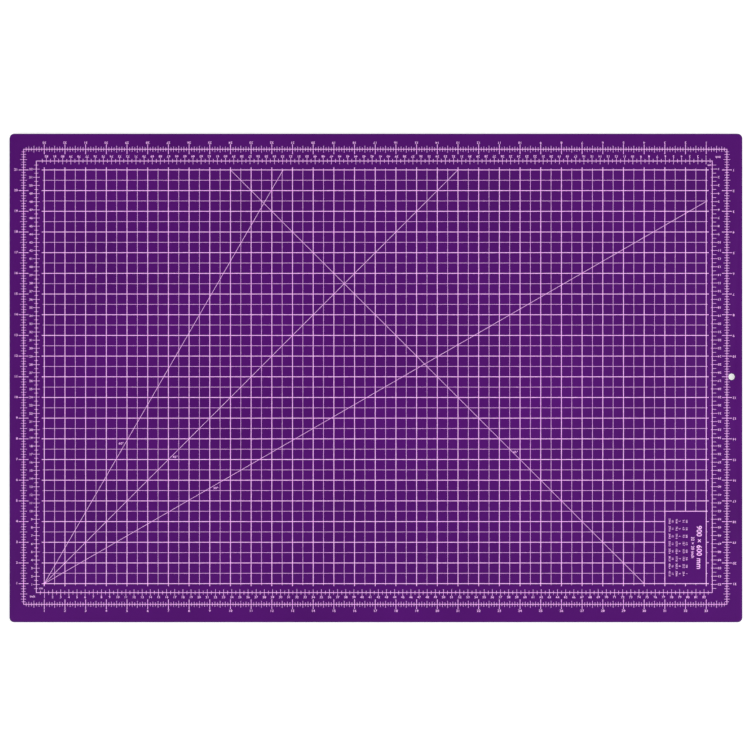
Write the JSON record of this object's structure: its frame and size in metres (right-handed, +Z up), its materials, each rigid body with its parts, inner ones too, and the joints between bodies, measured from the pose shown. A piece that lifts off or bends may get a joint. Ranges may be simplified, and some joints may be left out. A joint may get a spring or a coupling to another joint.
{
  "type": "cutting mat",
  "caption": "Flat laminated self-healing cutting mat with round corners, a hang hole and printed inch and centimetre rulers, grid and angle lines.",
  "frame": {"origin": "middle of the mat on the surface that it lies on", "axes": "+X along the long side, +Y towards the edge that is upper in the picture, +Z up out of the printed face"},
  "size_m": [0.9, 0.6, 0.003],
  "materials": {
    "skin": "fine matte embossed soft PVC",
    "soft_ply": "die-cut edge of soft PVC",
    "core": "die-cut edge of harder sheet",
    "ink": "satin screen-printed ink"
  },
  "bodies": {
    "root": {"bottom_skin": "skin", "lower_soft_ply": "soft_ply", "stiff_core": "core", "upper_soft_ply": "soft_ply", "top_skin": "skin", "inch_grid_print": "ink", "half_inch_grid_print": "ink", "inch_scale_print": "ink", "centimetre_scale_print": "ink", "angle_lines_print": "ink"}
  },
  "joints": []
}
